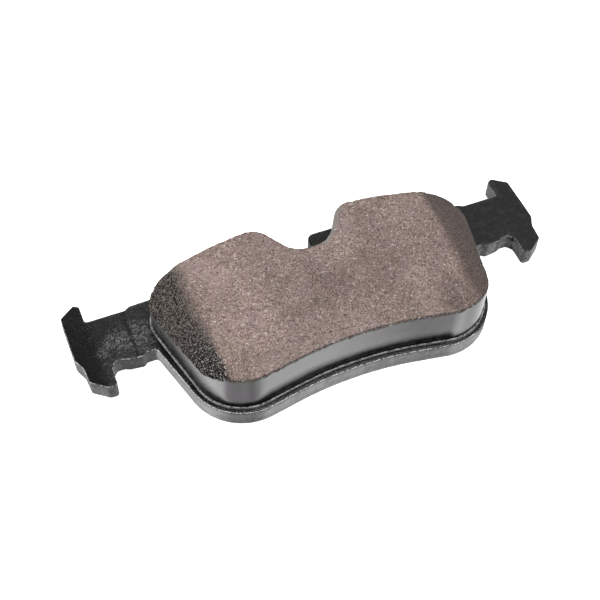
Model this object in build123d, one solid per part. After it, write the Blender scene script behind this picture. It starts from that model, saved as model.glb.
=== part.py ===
from build123d import *

# Disc brake pad: friction block with a dark underlayer, bonded to a stamped steel
# backing plate with a hammerhead ear at each end, and a laminated noise shim stuck
# to the back of the plate.  Millimetres.
#
# Frame: the pad lies on its shim.  +X runs along the pad from ear to ear, +Y points
# to the rotor's outer edge (the notched side), +Z points out of the friction face.
# Origin: centre of the pad's footprint, on the shim's outer face.
import os
from math import atan2, sin, tan

os.makedirs("parts", exist_ok=True)

# ---------------------------------------------------------------- stack along Z
# shim layers from the outer face upward: (piece, thickness)
SHIM_LAYERS = [
    ("shim_facing", 0.10),        # rubber
    ("shim_outer_steel", 0.20),
    ("shim_damping_core", 0.10),  # rubber between the two steels
    ("shim_inner_steel", 0.15),
    ("shim_adhesive", 0.10),      # holds the shim to the plate
]
PLATE_THICKNESS = 5.15
FILM_THICKNESS = 0.12
UNDERLAYER_THICKNESS = 2.88
FRICTION_THICKNESS = 8.40

PLATE_Z = sum(thickness for _, thickness in SHIM_LAYERS)
FILM_Z = PLATE_Z + PLATE_THICKNESS
UNDERLAYER_Z = FILM_Z + FILM_THICKNESS
FRICTION_Z = UNDERLAYER_Z + UNDERLAYER_THICKNESS
WORKING_FACE_Z = FRICTION_Z + FRICTION_THICKNESS

# profiles are drawn about a datum line; this shift centres the footprint in Y
Y_SHIFT = 6.67

# ---------------------------------------------------------------- details
CHAMFER_X = 32.2         # lead chamfer starts here on the working face
CHAMFER_SLOPE = 0.53     # its fall per millimetre of X
CHAMFER_REACH = 20.0     # length of the cutter along X, past the end of the block
CHAMFER_CLEARANCE = 5.0  # height of the cutter above the working face
CHAMFER_HALF_WIDTH = 100.0   # half length of the cutter along Y

FRONT_EDGE_R = 0.45      # rolled edge on the friction side of the plate
BACK_EDGE_R = 0.30       # die roll on the back of the plate

# locating pips pushed out of the back of the plate, and their holes in the shim
PIP_X, PIP_Y = 27.0, -4.0
PIP_R = 2.0
PIP_HEIGHT = 0.45
PIP_ROOT = 0.5           # depth the pip reaches into the plate
PIP_HOLE_R = 2.25
HOLE_CUT_Z, HOLE_CUT_HEIGHT = -1.0, 4.0   # cutter passes through every shim layer

BEAD = 0.50              # how far the bond film squeezes out around the block

# ---------------------------------------------------------------- outlines
# Right halves, clockwise from the top centre, drawn about the datum line.
# Columns: corner x, corner y, rounding radius.
FRICTION_HALF = [
    (4.50, 3.00, 6.70),        # notch floor meets its flank
    (10.75, 13.25, 5.60),      # lobe beside the notch
    (20.50, 12.40, 72.0),      # outer edge
    (33.50, 9.32, 30.0),       # shoulder
    (41.75, 8.05, 7.0),        # upper end corner
    (41.45, 0.30, 12.0),       # waist
    (34.10, -29.20, 12.0),     # lower end corner
    (0.0, -23.20, 90.0),       # concave inner edge
]

# backing plate sizes that the shim outline follows
SLOT_HALF_WIDTH = 3.80
SLOT_FLOOR_Y = 5.00
SLOT_FLOOR_R = SLOT_HALF_WIDTH - 0.05    # leaves a short flat in the floor
PLATE_TOP_Y = 15.40                      # flat top beside the slot
SLOPE_Y, SLOPE_R = 13.95, 60.0           # gentle bend in the outer edge
SHOULDER_Y, SHOULDER_R = 10.75, 12.0
SIDE_X, SIDE_Y = 42.45, -3.80            # inner corner between body side and neck
LOW_X, LOW_Y, LOW_R = 34.97, -30.75, 14.0
BOTTOM_Y, BOTTOM_R = -24.57, 90.0        # concave inner edge

# ear sizes
NECK_TOP_Y = 9.70
UPPER_HOOK_X = 56.20     # inner face of the upper hook
LOWER_HOOK_X = 53.75     # inner face of the lower hook
EAR_END_X = 61.45        # outer face: the pad's half length
LOWER_TIP_Y = -10.10

PLATE_HALF = [
    # slot and outer edge
    (SLOT_HALF_WIDTH, SLOT_FLOOR_Y, SLOT_FLOOR_R),
    (SLOT_HALF_WIDTH, PLATE_TOP_Y, 1.8),
    (15.5, PLATE_TOP_Y, 12.0),
    (23.0, SLOPE_Y, SLOPE_R),
    (36.2, SHOULDER_Y, SHOULDER_R),
    (45.0, 10.50, 1.2),
    # top of the neck
    (46.3, NECK_TOP_Y, 1.0),
    # hammerhead
    (UPPER_HOOK_X, NECK_TOP_Y, 0.8),
    (UPPER_HOOK_X, 14.75, 0.9),
    (57.6, 15.60, 0.9),
    (EAR_END_X, 12.85, 0.9),
    (EAR_END_X, 0.0, 2.0),
    (60.10, -2.90, 3.0),
    (59.80, -7.20, 0.9),
    (55.95, LOWER_TIP_Y, 1.4),
    (LOWER_HOOK_X, LOWER_TIP_Y, 0.9),
    (LOWER_HOOK_X, -5.10, 1.5),
    # underside of the neck
    (52.55, -3.65, 0.9),
    (50.8, -3.60, 1.0),
    (49.5, -4.20, 1.4),
    (46.0, -4.60, 0.85),
    (45.0, SIDE_Y, 0.75),
    # body side and inner edge
    (SIDE_X, SIDE_Y, 1.0),
    (LOW_X, LOW_Y, LOW_R),
    (0.0, BOTTOM_Y, BOTTOM_R),
]

INSET = 1.25             # shim outline, set in from the plate
SHIM_END_X = 43.2        # square end on the root of each neck
SHIM_SIDE_Y = SIDE_Y + INSET + 0.4

SHIM_HALF = [
    (SLOT_HALF_WIDTH + INSET, SLOT_FLOOR_Y - INSET, SLOT_FLOOR_R + INSET),
    (SLOT_HALF_WIDTH + INSET, PLATE_TOP_Y - INSET, 1.0),
    (15.3, PLATE_TOP_Y - INSET, 11.0),
    (22.8, SLOPE_Y - INSET, SLOPE_R),
    (36.0, SHOULDER_Y - INSET, SHOULDER_R),
    (SHIM_END_X, 10.55 - INSET, 1.5),
    (SHIM_END_X, SHIM_SIDE_Y, 0.8),
    (SIDE_X - INSET, SHIM_SIDE_Y, 0.8),
    (LOW_X - INSET * 1.26, LOW_Y + INSET * 1.25, LOW_R - INSET),
    (0.0, BOTTOM_Y + INSET, BOTTOM_R + INSET),
]


# ---------------------------------------------------------------- helpers
def mirrored(right):
    """Full corner list from a right half, moved onto the footprint's centre."""
    left = [(-x, y, r) for x, y, r in reversed(right) if x > 0]
    return [(x, y + Y_SHIFT, r) for x, y, r in right + left]


def neighbours(corners):
    """Yield (previous point, point, next point, radius) for each corner."""
    points = [Vector(x, y) for x, y, _ in corners]
    for i, (_, _, radius) in enumerate(corners):
        yield points[i - 1], points[i], points[(i + 1) % len(points)], radius


def rounded_edges(corners):
    """Closed loop of arcs and lines through rounded corners."""
    arcs, starts, ends = [], [], []
    for before, corner, after, radius in neighbours(corners):
        to_before = (before - corner).normalized()
        to_after = (after - corner).normalized()
        angle = atan2(to_before.cross(to_after).length, to_before.dot(to_after))
        tangent = radius / tan(angle / 2)
        start = corner + to_before * tangent
        end = corner + to_after * tangent
        middle = corner + (to_before + to_after).normalized() * (radius / sin(angle / 2) - radius)
        arcs.append(ThreePointArc(start, middle, end))
        starts.append(start)
        ends.append(end)

    lines = []
    for i, (before, corner, _, _) in enumerate(neighbours(corners)):
        side = starts[i] - ends[i - 1]
        if side.dot(corner - before) < -1e-6:
            raise ValueError(f"rounded corners overlap near ({corner.X:.2f}, {corner.Y:.2f})")
        if side.length > 1e-5:
            lines.append(Line(ends[i - 1], starts[i]))
    return arcs + lines


def grown(corners, distance):
    """The same rounded outline moved outward everywhere (clockwise corners)."""
    result = []
    for before, corner, after, radius in neighbours(corners):
        arriving = (corner - before).normalized()
        leaving = (after - corner).normalized()
        reach = distance / (1.0 + arriving.dot(leaving))
        x = corner.X - (arriving.Y + leaving.Y) * reach
        y = corner.Y + (arriving.X + leaving.X) * reach
        convex = arriving.cross(leaving).Z < 0
        result.append((x, y, radius + distance if convex else radius - distance))
    return result


def slab(corners, bottom_z, thickness):
    """Prism of a rounded outline from bottom_z upward."""
    face = make_face(rounded_edges(corners))
    return extrude(Pos(0, 0, bottom_z) * face, amount=thickness, dir=(0, 0, 1)).solid()


def pip_cylinders(radius, bottom_z, height):
    """One upright cylinder at each of the two pip places."""
    return [
        Pos(side * PIP_X, PIP_Y + Y_SHIFT, bottom_z)
        * extrude(make_face(Circle(radius).edges()), amount=height, dir=(0, 0, 1))
        for side in (-1, 1)
    ]


def save(name, solid):
    solid.label = name
    export_step(solid, f"parts/{name}.step")


# ---------------------------------------------------------------- pieces
def shim_layer(bottom_z, thickness):
    layer = slab(mirrored(SHIM_HALF), bottom_z, thickness)
    for hole in pip_cylinders(PIP_HOLE_R, HOLE_CUT_Z, HOLE_CUT_HEIGHT):
        layer = layer - hole
    return layer.solid()


def backing_plate():
    plate = slab(mirrored(PLATE_HALF), PLATE_Z, PLATE_THICKNESS)
    front_edges = plate.faces().sort_by(Axis.Z)[-1].outer_wire().edges()
    plate = fillet(front_edges, radius=FRONT_EDGE_R).solid()
    back_edges = plate.faces().sort_by(Axis.Z)[0].outer_wire().edges()
    plate = fillet(back_edges, radius=BACK_EDGE_R).solid()
    for pip in pip_cylinders(PIP_R, PLATE_Z - PIP_HEIGHT, PIP_HEIGHT + PIP_ROOT):
        plate = plate + pip
    return plate.solid()


def friction_block(corners):
    """Block with lead chamfers: planes that fall away towards both ends."""
    block = slab(corners, FRICTION_Z, FRICTION_THICKNESS)
    end_x = CHAMFER_X + CHAMFER_REACH
    cutter_top = WORKING_FACE_Z + CHAMFER_CLEARANCE
    profile = make_face(Polyline(
        (CHAMFER_X, WORKING_FACE_Z),
        (end_x, WORKING_FACE_Z - CHAMFER_SLOPE * CHAMFER_REACH),
        (end_x, cutter_top),
        (CHAMFER_X, cutter_top),
        close=True,
    ))
    right_cutter = extrude(Plane.XZ * profile, amount=CHAMFER_HALF_WIDTH, both=True)
    left_cutter = mirror(right_cutter, about=Plane.YZ)
    return (block - left_cutter - right_cutter).solid()


# ---------------------------------------------------------------- build
layer_z = 0.0
for layer_name, layer_thickness in SHIM_LAYERS:
    save(layer_name, shim_layer(layer_z, layer_thickness))
    layer_z += layer_thickness

save("backing_plate", backing_plate())

friction_outline = mirrored(FRICTION_HALF)
save("bond_film", slab(grown(friction_outline, BEAD), FILM_Z, FILM_THICKNESS))
save("underlayer", slab(friction_outline, UNDERLAYER_Z, UNDERLAYER_THICKNESS))
save("friction_block", friction_block(friction_outline))
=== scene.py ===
"""Disc brake pad: a friction block on a coated backing plate, with a shim under the plate.

The pad lies flat with its ears along X. +Z points from the shim to the friction face,
-Y is the front, towards the camera. Shapes and shader lengths are in millimetres,
scaled by MM when they become meshes; lights and floor are in metres.
"""

import math
from functools import cached_property
from itertools import product

import bmesh
import bpy
import numpy as np
from mathutils import Matrix, Vector
from mathutils.geometry import delaunay_2d_cdt


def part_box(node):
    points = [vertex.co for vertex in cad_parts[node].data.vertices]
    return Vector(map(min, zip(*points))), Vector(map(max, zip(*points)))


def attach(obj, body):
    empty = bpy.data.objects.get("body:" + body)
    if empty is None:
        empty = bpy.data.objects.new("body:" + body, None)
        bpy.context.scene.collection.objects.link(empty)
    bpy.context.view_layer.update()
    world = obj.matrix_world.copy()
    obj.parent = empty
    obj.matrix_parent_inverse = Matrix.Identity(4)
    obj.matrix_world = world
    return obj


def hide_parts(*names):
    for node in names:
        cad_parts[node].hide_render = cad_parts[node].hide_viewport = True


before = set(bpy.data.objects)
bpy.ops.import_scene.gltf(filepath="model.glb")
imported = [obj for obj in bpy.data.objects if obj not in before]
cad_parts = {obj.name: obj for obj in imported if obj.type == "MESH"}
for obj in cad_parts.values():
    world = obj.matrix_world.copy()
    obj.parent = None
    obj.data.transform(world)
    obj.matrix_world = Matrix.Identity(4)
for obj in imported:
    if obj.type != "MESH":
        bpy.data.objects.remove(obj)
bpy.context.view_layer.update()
MM = 0.001


# ------------------------------------------------------------------ dimensions
def z_range(node):
    lo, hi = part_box(node)
    return lo.z / MM, hi.z / MM


PLATE_BACK = z_range("shim_adhesive")[1]
PIP_END, PLATE_TOP = z_range("backing_plate")
UNDER_LOW, UNDER_TOP = z_range("underlayer")
BLOCK_TOP = z_range("friction_block")[1]

Y_SHIFT = 6.67                      # from the outline tables to the frame
CHAMFER_X, CHAMFER_SLOPE = 32.2, 0.53
CHAMFER_BLEND = 0.18                # softens the line where a chamfer starts
EDGE_R, EDGE_BACK_R = 0.45, 0.30    # roundings at the top and back of the plate
PIP_X, PIP_Y, PIP_R = 27.0, -4.0 + Y_SHIFT, 2.0
BLOCK_STEP, PLATE_STEP = 0.27, 0.38  # spacing of points along the outlines

# Right halves of the outlines, clockwise from above: x, y, corner radius.
BLOCK_HALF = [
    (4.50, 3.00, 6.70), (10.75, 13.25, 5.60), (20.5, 12.40, 72.0), (33.5, 9.32, 30.0),
    (41.75, 8.05, 7.0), (41.45, 0.30, 12.0), (34.10, -29.20, 12.0), (0.0, -23.20, 90.0),
]
PLATE_HALF = [
    (3.80, 5.00, 3.75), (3.80, 15.40, 1.8), (15.5, 15.40, 12.0), (23.0, 13.95, 60.0),
    (36.2, 10.75, 12.0), (45.0, 10.50, 1.2), (46.3, 9.70, 1.0), (56.20, 9.70, 0.8),
    (56.20, 14.75, 0.9), (57.6, 15.60, 0.9), (61.45, 12.85, 0.9), (61.45, 0.0, 2.0),
    (60.10, -2.90, 3.0), (59.80, -7.20, 0.9), (55.95, -10.10, 1.4), (53.75, -10.10, 0.9),
    (53.75, -5.10, 1.5), (52.55, -3.65, 0.9), (50.8, -3.60, 1.0), (49.5, -4.20, 1.4),
    (46.0, -4.60, 0.85), (45.0, -3.80, 0.75), (42.45, -3.80, 1.0), (34.97, -30.75, 14.0),
    (0.0, -24.57, 90.0),
]


# ------------------------------------------------------------------ rounded outlines
def mirrored(right):
    left = [(-x, y, r) for x, y, r in reversed(right) if x > 1e-9]
    return [(x, y + Y_SHIFT, r) for x, y, r in right + left]


def grown(corners, out):
    """The same rounded outline moved outward."""
    moved = []
    for i, (bx, by, radius) in enumerate(corners):
        ax, ay, _ = corners[i - 1]
        cx, cy, _ = corners[(i + 1) % len(corners)]
        ux, uy, wx, wy = bx - ax, by - ay, cx - bx, cy - by
        u_len, w_len = math.hypot(ux, uy), math.hypot(wx, wy)
        ux, uy, wx, wy = ux / u_len, uy / u_len, wx / w_len, wy / w_len
        convex = ux * wy - uy * wx < 0
        k = out / (1.0 + ux * wx + uy * wy)
        new_radius = max(radius + out, 0.0) if convex else max(radius - out, 0.02)
        moved.append((bx + (-uy - wy) * k, by + (ux + wx) * k, new_radius))
    return moved


def corner_arc(corners, i):
    """Start, end, centre, radius, angle and turn (-1 clockwise) of one rounded corner."""
    before = np.array(corners[i - 1][:2])
    here = np.array(corners[i][:2])
    after = np.array(corners[(i + 1) % len(corners)][:2])
    radius = corners[i][2]
    u = (before - here) / np.linalg.norm(before - here)
    w = (after - here) / np.linalg.norm(after - here)
    inner = math.acos(max(-1.0, min(1.0, float(u @ w))))
    reach = radius / math.tan(inner / 2)
    middle = (u + w) / np.linalg.norm(u + w)
    centre = here + middle * (radius / math.sin(inner / 2))
    a, b = here - before, after - here
    turn = -1.0 if a[0] * b[1] - a[1] * b[0] < 0 else 1.0
    return here + u * reach, here + w * reach, centre, radius, math.pi - inner, turn


def segment_counts(corners, step):
    """Segments in each corner arc and in the straight run after it."""
    out = []
    for i in range(len(corners)):
        _, end, _, radius, angle, _ = corner_arc(corners, i)
        following = corner_arc(corners, (i + 1) % len(corners))[0]
        in_arc = max(2, int(round(radius * angle / step)), int(round(angle / 0.30)))
        in_run = max(1, int(round(np.linalg.norm(following - end) / step)))
        out.append((in_arc, in_run))
    return out


def sampled(corners, segments):
    """Points and outward normals; the count is the same for every offset of an outline."""
    points, normals = [], []
    for i, (in_arc, in_run) in enumerate(segments):
        start, end, centre, radius, angle, turn = corner_arc(corners, i)
        first = math.atan2(start[1] - centre[1], start[0] - centre[0])
        for j in range(in_arc + 1):
            a = first + turn * angle * j / in_arc
            ray = np.array([math.cos(a), math.sin(a)])
            points.append(centre + radius * ray)
            normals.append(ray if turn < 0 else -ray)
        following = corner_arc(corners, (i + 1) % len(corners))[0]
        for j in range(1, in_run):
            points.append(end + (following - end) * j / in_run)
            normals.append(normals[-1])
    return np.array(points), np.array(normals)


def inside(points, polygon):
    x, y = points[:, 0], points[:, 1]
    out = np.zeros(len(points), bool)
    for i, (x1, y1) in enumerate(polygon):
        x2, y2 = polygon[(i + 1) % len(polygon)]
        if y1 == y2:
            continue
        out ^= ((y1 > y) != (y2 > y)) & (x < (x2 - x1) * (y - y1) / (y2 - y1) + x1)
    return out


def inside_loops(points, loops):
    """Inside the first loop and outside the others."""
    keep = inside(points, loops[0])
    for hole in loops[1:]:
        keep &= ~inside(points, hole)
    return keep


def nearest(points, edge, chunk=2000):
    """Distance in XY from each point to the closest edge point, in chunks to spare memory."""
    out = np.zeros(len(points))
    for k in range(0, len(points), chunk):
        gap = points[k:k + chunk, None, :] - edge[None, :, :]
        out[k:k + chunk] = np.sqrt((gap ** 2).sum(2).min(1))
    return out


def raised(outline, z):
    """An XY outline as 3D points; z is one height or one per point."""
    return np.column_stack([outline, np.broadcast_to(z, (len(outline),))])


# ------------------------------------------------------------------ seeded noise
def lattice_hash(ix, iy, iz, seed):
    h = (ix * 374761393 + iy * 668265263 + iz * 2147483647 + seed * 1274126177) & 0xFFFFFFFF
    h = ((h ^ (h >> 13)) * 1274126177) & 0xFFFFFFFF
    h = (h ^ (h >> 16)) & 0xFFFFFFFF
    return h.astype(np.float64) / 4294967295.0


def value_noise(points, size, seed):
    """Smooth value noise in -1..1; size is the feature length."""
    q = np.asarray(points, float) / size + 1000.0
    cell = np.floor(q).astype(np.int64)
    f = q - cell
    f = f * f * f * (f * (f * 6 - 15) + 10)
    out = np.zeros(len(q))
    for dx, dy, dz in product((0, 1), repeat=3):
        weight = ((f[:, 0] if dx else 1 - f[:, 0]) * (f[:, 1] if dy else 1 - f[:, 1])
                  * (f[:, 2] if dz else 1 - f[:, 2]))
        out += weight * lattice_hash(cell[:, 0] + dx, cell[:, 1] + dy, cell[:, 2] + dz, seed)
    return out * 2 - 1


def layered_noise(points, size, seed, octaves):
    out, gain, total = 0.0, 1.0, 0.0
    for k in range(octaves):
        out = out + gain * value_noise(points, size / 2 ** k, seed + 17 * k)
        total += gain
        gain *= 0.55
    return out / total


def jitter(points, reach, size, seeds):
    """Noise shifts in X, Y and Z, one seed for each."""
    return reach * np.column_stack([value_noise(points, size, seed) for seed in seeds])


def smooth(x, start, end):
    t = np.clip((x - start) / (end - start), 0, 1)
    return t * t * (3 - 2 * t)


# ------------------------------------------------------------------ mesh building
class Build:
    """Collects points and faces, then makes the object."""

    def __init__(self):
        self.chunks, self.faces, self.slots = [], [], []
        self.count = 0

    def add(self, points):
        points = np.asarray(points, float)
        self.chunks.append(points)
        ids = np.arange(self.count, self.count + len(points))
        self.count += len(points)
        return ids

    def face(self, ids, slot):
        self.faces.append(tuple(int(i) for i in ids))
        self.slots.append(slot)

    def strip(self, a, b, slot=0):
        """Quads between two closed rings of the same count."""
        for i in range(len(a)):
            j = (i + 1) % len(a)
            self.face((a[i], a[j], b[j], b[i]), slot)

    def skin(self, rings, slot=0):
        for a, b in zip(rings[:-1], rings[1:]):
            self.strip(a, b, slot)

    def fill(self, loops, ids, z, spacing, seed, slot=0):
        """Even triangles inside the first loop, outside the others. Returns the new ids."""
        edge = np.vstack(loops)
        grid = inner_grid(loops, edge, spacing, seed)
        walls, start = [], 0
        for loop in loops:
            n = len(loop)
            walls += [(start + i, start + (i + 1) % n) for i in range(n)]
            start += n
        flat = [Vector((float(x), float(y))) for x, y in np.vstack([edge, grid])]
        result = delaunay_2d_cdt(flat, walls, [], 1, 1e-7, True)
        places, triangles = result[0], result[2]
        source = [origin[0] if origin else None for origin in result[3]]
        new = self.add(raised(grid, z))
        all_ids = np.concatenate([np.concatenate(ids), new])
        kept = flooded(places, triangles, source, walls, loops)
        for triangle, keep in zip(triangles, kept):
            if keep:
                self.face([all_ids[source[i]] for i in triangle], slot)
        return new

    def points(self):
        return np.vstack(self.chunks)

    def make(self, name, points, materials, sharp_deg):
        mesh = bpy.data.meshes.new(name)
        mesh.from_pydata((np.asarray(points) * MM).tolist(), [], self.faces)
        for material in materials:
            mesh.materials.append(material)
        mesh.polygons.foreach_set("material_index", self.slots)
        bm = bmesh.new()
        bm.from_mesh(mesh)
        bmesh.ops.recalc_face_normals(bm, faces=bm.faces)
        bm.to_mesh(mesh)
        bm.free()
        mesh.shade_smooth()
        mesh.set_sharp_from_angle(angle=math.radians(sharp_deg))
        return linked(name, mesh)


def linked(name, data):
    ob = bpy.data.objects.new(name, data)
    bpy.context.scene.collection.objects.link(ob)
    return ob


def inner_grid(loops, edge, spacing, seed):
    """A loosened triangular grid between the loops, clear of their edges."""
    rng = np.random.default_rng(seed)
    lo, hi = loops[0].min(0), loops[0].max(0)
    rows = []
    for k, y in enumerate(np.arange(lo[1], hi[1], spacing * 0.866)):
        xs = np.arange(lo[0], hi[0], spacing) + (k % 2) * spacing / 2
        rows.append(np.column_stack([xs, np.full(len(xs), y)]))
    grid = np.vstack(rows)
    grid += rng.normal(0, spacing * 0.13, grid.shape)
    grid = grid[inside_loops(grid, loops)]
    return grid[nearest(grid, edge) > spacing * 0.62]


def flooded(places, triangles, source, walls, loops):
    """Which triangles belong to the filled area.

    Slivers on a straight run of the outline are settled by flooding from the
    clear inner triangles, without crossing the outline.
    """
    def sides(triangle):
        for i in range(3):
            yield frozenset((source[triangle[i]], source[triangle[(i + 1) % 3]]))

    centres = np.array([[sum(places[i][0] for i in t) / 3, sum(places[i][1] for i in t) / 3]
                        for t in triangles])
    barriers = {frozenset(wall) for wall in walls}
    sharing = {}
    for n, triangle in enumerate(triangles):
        for side in sides(triangle):
            sharing.setdefault(side, []).append(n)
    xy = np.array([[(places[i][0], places[i][1]) for i in t] for t in triangles])
    u, w = xy[:, 1] - xy[:, 0], xy[:, 2] - xy[:, 0]
    clear = np.abs(u[:, 0] * w[:, 1] - u[:, 1] * w[:, 0]) > 0.01
    seen = inside_loops(centres, loops) & clear
    todo = list(np.flatnonzero(seen))
    while todo:
        for side in sides(triangles[todo.pop()]):
            if side in barriers:
                continue
            for m in sharing[side]:
                if not seen[m]:
                    seen[m] = True
                    todo.append(m)
    return seen


# ------------------------------------------------------------------ shader graphs
class Value:
    """One node output. Arithmetic on it adds math nodes."""

    def __init__(self, graph, socket):
        self.graph, self.socket = graph, socket

    def __add__(self, other):
        return self.graph.math("ADD", self, other)

    def __radd__(self, other):
        return self.graph.math("ADD", other, self)

    def __sub__(self, other):
        return self.graph.math("SUBTRACT", self, other)

    def __rsub__(self, other):
        return self.graph.math("SUBTRACT", other, self)

    def __mul__(self, other):
        return self.graph.math("MULTIPLY", self, other)

    def __rmul__(self, other):
        return self.graph.math("MULTIPLY", other, self)

    def __truediv__(self, other):
        return self.graph.math("DIVIDE", self, other)

    def __abs__(self):
        return self.graph.math("ABSOLUTE", self)

    def at_least(self, other):
        return self.graph.math("MAXIMUM", self, other)

    def sibling(self, output):
        """Another output of the same node."""
        return Value(self.graph, self.socket.node.outputs[output])

    def span(self, over, give=(0.0, 1.0), kind="SMOOTHSTEP"):
        """Map the range `over` onto the range `give`, held at both ends."""
        inputs = dict(enumerate((self, *over, *give)))
        return self.graph.add("ShaderNodeMapRange", inputs, interpolation_type=kind)

    def fall(self, over):
        """From 1 down to 0 across the range `over`."""
        return self.span(over, give=(1.0, 0.0))


class Graph:
    """A node tree emptied and built anew. None leaves an input at its default."""

    def __init__(self, tree):
        self.tree = tree
        tree.nodes.clear()

    def put(self, socket, value):
        if isinstance(value, Value):
            self.tree.links.new(value.socket, socket)
        elif value is not None:
            if isinstance(value, tuple) and len(value) == 3 and len(socket.default_value) == 4:
                value = (*value, 1.0)
            socket.default_value = value

    def node(self, kind, inputs, **settings):
        """Make a node; inputs maps a socket's name or number to its value."""
        node = self.tree.nodes.new(kind)
        for name, value in settings.items():
            setattr(node, name, value)
        for socket, value in inputs.items():
            self.put(node.inputs[socket], value)
        return node

    def add(self, kind, inputs, output=0, **settings):
        return Value(self, self.node(kind, inputs, **settings).outputs[output])

    def math(self, operation, a, b=None):
        return self.add("ShaderNodeMath", {0: a, 1: b}, operation=operation)

    def lerp(self, off, on, by):
        """A number going from `off` to `on` as `by` goes from 0 to 1."""
        return self.add("ShaderNodeMix", {0: by, 2: off, 3: on}, data_type="FLOAT")

    def blend(self, off, on, by):
        """The same for two colours."""
        return self.add("ShaderNodeMix", {0: by, 6: off, 7: on}, output=2, data_type="RGBA")


class Material(Graph):
    """A principled material in object coordinates, in millimetres."""

    def __init__(self, name):
        self.material = bpy.data.materials.new(name)
        self.material.use_nodes = True
        super().__init__(self.material.node_tree)
        self.shader = self.add("ShaderNodeBsdfPrincipled", {})
        self.surface = self.node("ShaderNodeOutputMaterial", {0: self.shader}).inputs[0]

    @cached_property
    def point(self):
        coordinates = self.add("ShaderNodeTexCoord", {}, "Object")
        return self.add("ShaderNodeVectorMath", {0: coordinates, "Scale": 1 / MM},
                        operation="SCALE")

    @cached_property
    def x(self):
        return self.add("ShaderNodeSeparateXYZ", {0: self.point})

    @property
    def y(self):
        return self.x.sibling("Y")

    @property
    def z(self):
        return self.x.sibling("Z")

    def set(self, **inputs):
        for name, value in inputs.items():
            self.put(self.shader.socket.node.inputs[name.replace("_", " ")], value)

    def layers(self, base, layers):
        """Lay colours over the base in turn: (colour, mask)."""
        for colour, mask in layers:
            base = self.blend(base, colour, by=mask)
        return base

    def noise(self, size, detail=3.0, rough=0.6, vector=None):
        return self.add("ShaderNodeTexNoise", {
            "Vector": vector or self.point, "Scale": 1.0 / size,
            "Detail": detail, "Roughness": rough})

    def wobble(self, reach, size, detail=3.0, rough=0.6):
        """Noise about zero, `reach` wide in all."""
        return (self.noise(size, detail, rough) - 0.5) * reach

    def cells(self, size, output="Distance", vector=None, feature="F1"):
        inputs = {"Vector": vector or self.point, "Scale": 1.0 / size}
        return self.add("ShaderNodeTexVoronoi", inputs, output, feature=feature)

    def cell_shade(self, size, vector=None):
        """One random number for each cell."""
        return self.add("ShaderNodeSeparateColor", {0: self.cells(size, "Color", vector)})

    def stretched(self, scale, vector=None):
        return self.add("ShaderNodeVectorMath", {0: vector or self.point, 1: scale},
                        operation="MULTIPLY")

    def turned(self, angle, shift, scale=(1.0, 1.0, 1.0)):
        """Coordinates rotated about Z, shifted and stretched."""
        mapped = self.add("ShaderNodeMapping", {
            "Vector": self.point, "Rotation": (0.0, 0.0, angle),
            "Location": (shift, shift * 0.7, 0.0)}, vector_type="POINT")
        return self.stretched(scale, mapped)

    def bump(self, height, depth, strength, under=None):
        return self.add("ShaderNodeBump", {
            "Height": height, "Distance": depth * MM, "Strength": strength, "Normal": under})


def srgb(red, green, blue):
    return tuple(((c / 255.0 + 0.055) / 1.055) ** 2.4 if c > 10 else c / 255.0 / 12.92
                 for c in (red, green, blue))


def grey(level):
    return srgb(level, level, level)


# ------------------------------------------------------------------ friction face
# Broad patches where the tone changes: x, y, squash in X, full within, gone beyond, amount.
DARKER = [
    (-5.0, -2.0, 1.35, 2.0, 11.0, 0.16), (13.0, -1.5, 1.2, 1.0, 10.0, 0.08),
    (26.0, -17.0, 1.5, 1.0, 9.0, 0.29), (-20.0, -19.0, 1.5, 1.0, 9.0, 0.26),
]
BRIGHTER = [(25.0, 13.0, 1.8, 1.0, 6.0, 0.12), (4.0, 6.0, 1.3, 1.0, 6.0, 0.15)]


def face_grain(mat, fine, broad, small):
    """Brown and pink grains, dark specks and short pale fibres."""
    middle = mat.noise(size=0.70, detail=2, rough=0.55)
    hue = mat.noise(size=5.0, detail=1, rough=0.5)
    large = mat.cell_shade(size=0.70, vector=mat.stretched((1.0, 1.3, 1.0)))
    cloud = mat.noise(size=3.2, detail=2)
    base = mat.blend(srgb(62, 47, 42), srgb(214, 190, 181),
                     by=fine.span(over=(0.32, 0.68), kind="LINEAR"))
    base = mat.layers(base, [
        # soft browns that calm the grain
        (srgb(142, 123, 116), cloud.span(over=(0.42, 0.60), give=(0.0, 0.50))),
        (srgb(132, 113, 106), middle.span(over=(0.38, 0.70)) * 0.22),
        (srgb(118, 100, 95), broad.span(over=(0.36, 0.64), give=(0.30, 0.0))),
        (srgb(172, 152, 146), broad.span(over=(0.46, 0.66), give=(0.0, 0.35))),
        # drift towards olive and towards pink
        (srgb(134, 128, 112), hue.fall(over=(0.30, 0.50)) * 0.22),
        (srgb(146, 126, 134), hue.span(over=(0.52, 0.70)) * 0.22),
        # single pale and dark grains, small then large
        (srgb(204, 182, 173), small.span(over=(0.86, 0.96), give=(0.0, 0.70))),
        (srgb(66, 55, 52), small.span(over=(0.03, 0.16), give=(0.75, 0.0))),
        (srgb(214, 202, 196), large.span(over=(0.975, 0.995), give=(0.0, 0.45))),
        (srgb(88, 66, 60), large.span(over=(0.02, 0.07), give=(0.40, 0.0))),
    ])
    for angle, shift in ((0.6, 0.0), (1.9, 31.0), (2.8, 57.0)):
        lines = mat.noise(size=1.0, detail=1, rough=0.5,
                          vector=mat.turned(angle, shift, scale=(4.2, 0.55, 1.0)))
        patch = mat.noise(size=2.6, detail=1, rough=0.5, vector=mat.turned(angle, shift + 11.0))
        fibres = (lines.span(over=(0.66, 0.72), give=(0.0, 0.55))
                  * patch.span(over=(0.50, 0.62)))
        base = mat.blend(base, srgb(190, 174, 168), by=fibres)
    return base


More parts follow.
